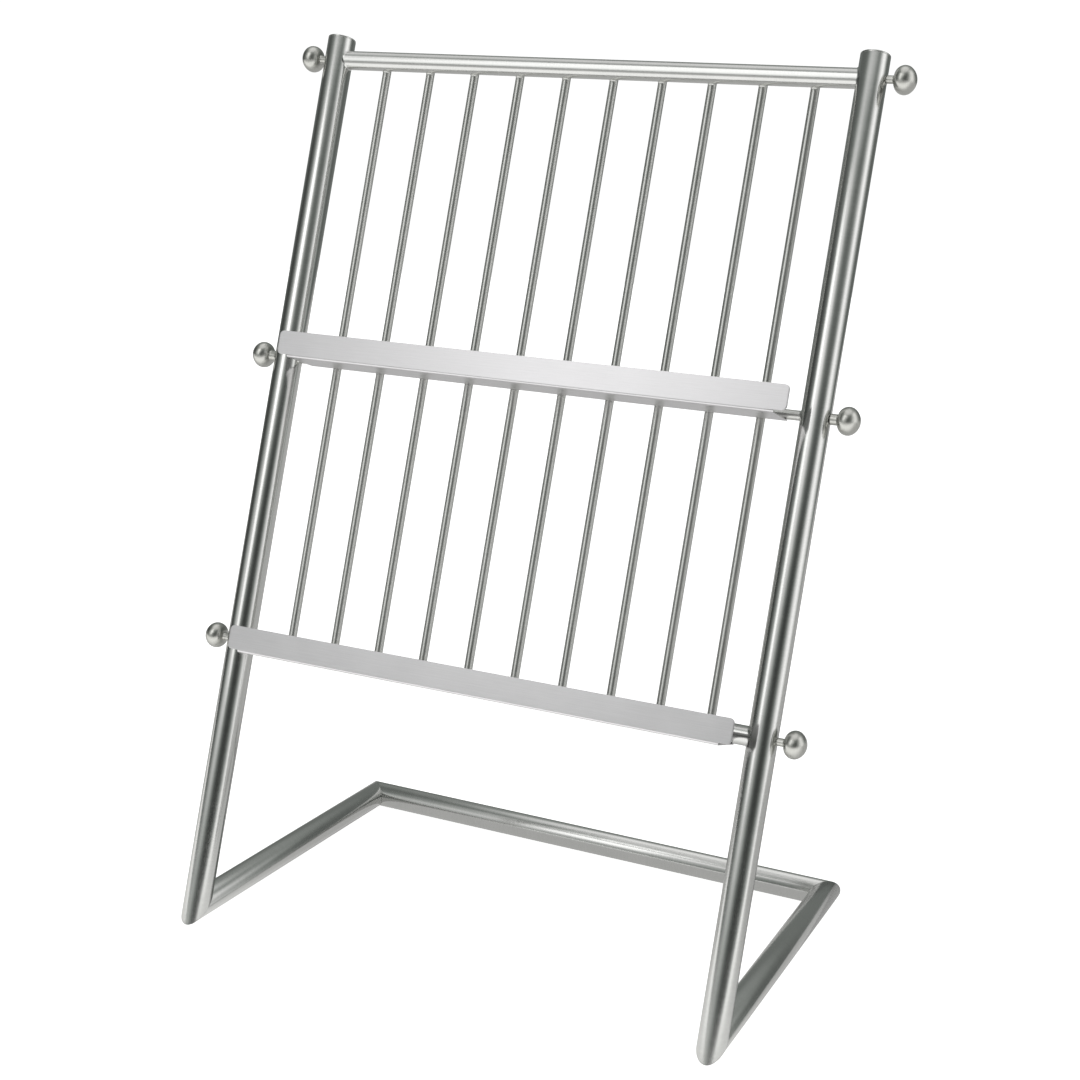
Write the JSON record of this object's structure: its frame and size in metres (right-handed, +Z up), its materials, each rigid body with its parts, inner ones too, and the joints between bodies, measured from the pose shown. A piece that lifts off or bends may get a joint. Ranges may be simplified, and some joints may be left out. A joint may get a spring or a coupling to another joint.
{
  "type": "two-tier leaning display and drying rack",
  "caption": "Free-standing leaning rack of round steel tube with upright back rods, two folded-sheet shelves and turned knobs screwed to the rails through the uprights.",
  "frame": {"origin": "on the floor, in the middle of the rack's footprint", "axes": "+X across the rack to the right seen from the front, +Y from front to back, +Z up; the uprights lean back towards +Y by 17 degrees"},
  "size_m": [0.695, 0.4082, 0.9448],
  "materials": {
    "tube": "satin polished stainless steel tube",
    "rod": "satin polished stainless steel round bar",
    "shelf_sheet": "fine brushed stainless steel sheet",
    "knob": "turned and polished stainless steel",
    "plug": "machined stainless steel"
  },
  "bodies": {
    "frame": {"back_rod_01": "rod", "back_rod_02": "rod", "back_rod_03": "rod", "back_rod_04": "rod", "back_rod_05": "rod", "back_rod_06": "rod", "back_rod_07": "rod", "back_rod_08": "rod", "back_rod_09": "rod", "back_rod_10": "rod", "bottom_rail": "tube", "floor_tube_left": "tube", "floor_tube_rear": "tube", "floor_tube_right": "tube", "middle_rail": "rod", "rail_plug_bottom_left": "plug", "rail_plug_bottom_right": "plug", "rail_plug_top_left": "plug", "rail_plug_top_right": "plug", "shelf_bottom": "shelf_sheet", "shelf_middle": "shelf_sheet", "top_rail": "tube", "upright_cap_left": "tube", "upright_cap_right": "tube", "upright_left": "tube", "upright_right": "tube"},
    "knob_top_left": {"knob_top_left": "knob"},
    "knob_top_right": {"knob_top_right": "knob"},
    "knob_middle_left": {"knob_middle_left": "knob"},
    "knob_middle_right": {"knob_middle_right": "knob"},
    "knob_bottom_left": {"knob_bottom_left": "knob"},
    "knob_bottom_right": {"knob_bottom_right": "knob"}
  },
  "joints": [
    {"name": "knob_top_left_turn", "type": "hinge", "parent": "frame", "child": "knob_top_left", "pos_m": [-0.303, 0.09213, 0.91775], "axis": [-1, 0, 0], "range_deg": [0, 360]},
    {"name": "knob_top_right_turn", "type": "hinge", "parent": "frame", "child": "knob_top_right", "pos_m": [0.303, 0.09213, 0.91775], "axis": [1, 0, 0], "range_deg": [0, 360]},
    {"name": "knob_middle_left_turn", "type": "hinge", "parent": "frame", "child": "knob_middle_left", "pos_m": [-0.303, -0.00522, 0.5993], "axis": [-1, 0, 0], "range_deg": [0, 360]},
    {"name": "knob_middle_right_turn", "type": "hinge", "parent": "frame", "child": "knob_middle_right", "pos_m": [0.303, -0.00522, 0.5993], "axis": [1, 0, 0], "range_deg": [0, 360]},
    {"name": "knob_bottom_left_turn", "type": "hinge", "parent": "frame", "child": "knob_bottom_left", "pos_m": [-0.303, -0.09732, 0.29807], "axis": [-1, 0, 0], "range_deg": [0, 360]},
    {"name": "knob_bottom_right_turn", "type": "hinge", "parent": "frame", "child": "knob_bottom_right", "pos_m": [0.303, -0.09732, 0.29807], "axis": [1, 0, 0], "range_deg": [0, 360]}
  ]
}
